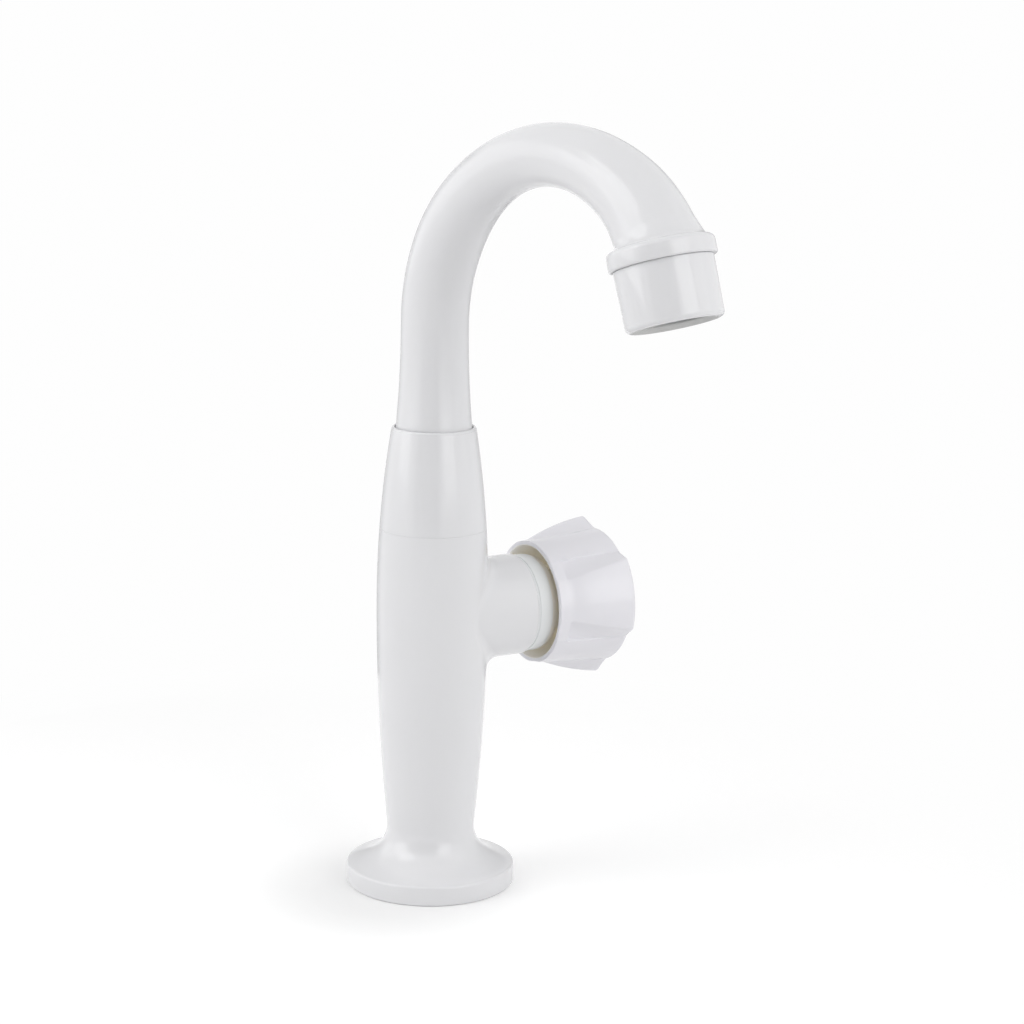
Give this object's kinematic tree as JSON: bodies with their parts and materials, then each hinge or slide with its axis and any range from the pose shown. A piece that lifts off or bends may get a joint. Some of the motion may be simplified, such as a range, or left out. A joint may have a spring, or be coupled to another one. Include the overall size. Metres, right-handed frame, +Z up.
{
  "type": "pillar tap",
  "caption": "White plastic pillar tap: slim barrel body on a round foot, swivelling gooseneck spout with an aerator, side knob on a screw-down valve, threaded shank with back nut.",
  "frame": {"origin": "middle of the foot's underside, on the deck that the tap stands on", "axes": "+Z up the body's axis; +X along the knob's axis, away from the body; the spout rests 78.8 degrees clockwise of +X seen from above"},
  "size_m": [0.0826, 0.1325, 0.2802],
  "materials": {
    "white_plastic": "glossy, injection moulded",
    "knob_plastic": "glossy, a slightly cooler white than the body",
    "aerator_plastic": "natural moulded plastic",
    "natural_nylon": "natural nylon, satin",
    "seal_rubber": "matt black rubber",
    "brass": "turned brass",
    "stainless_steel": "plain stainless steel"
  },
  "bodies": {
    "body": {"column_body": "white_plastic", "upper_sleeve": "white_plastic", "base_seal_ring": "seal_rubber", "threaded_shank": "white_plastic", "shank_o_ring": "seal_rubber", "deck_washer": "seal_rubber", "back_nut": "white_plastic", "bonnet": "white_plastic", "bonnet_gasket": "natural_nylon"},
    "spout": {"spout": "white_plastic", "spout_o_rings": "seal_rubber", "spout_retaining_clip": "stainless_steel", "spout_slip_ring": "natural_nylon", "aerator_shell": "white_plastic", "aerator_gasket": "seal_rubber", "aerator_housing": "aerator_plastic", "aerator_flow_disc": "aerator_plastic", "aerator_screens": "stainless_steel"},
    "knob": {"knob": "knob_plastic", "knob_screw": "stainless_steel", "knob_cap": "knob_plastic", "spindle": "brass", "spindle_o_rings": "seal_rubber", "spindle_slip_washer": "natural_nylon", "spindle_clip": "stainless_steel"},
    "valve": {"valve_jumper": "brass", "valve_washer": "seal_rubber", "washer_screw": "brass"}
  },
  "joints": [
    {"name": "spout_swivel", "type": "hinge", "parent": "body", "child": "spout", "pos_m": [0, 0, 0.131], "axis": [0, 0, 1], "continuous": true},
    {"name": "knob_turn", "type": "hinge", "parent": "body", "child": "knob", "pos_m": [0.045, 0, 0.0818], "axis": [1, 0, 0], "range_deg": [0, 540]},
    {"name": "valve_lift", "type": "slide", "parent": "body", "child": "valve", "axis": [1, 0, 0], "range_m": [0, 0.0038]}
  ],
  "couplings": [
    {"joint": "valve_lift", "follows": "knob_turn", "m_per_rad": 0.00039789}
  ]
}
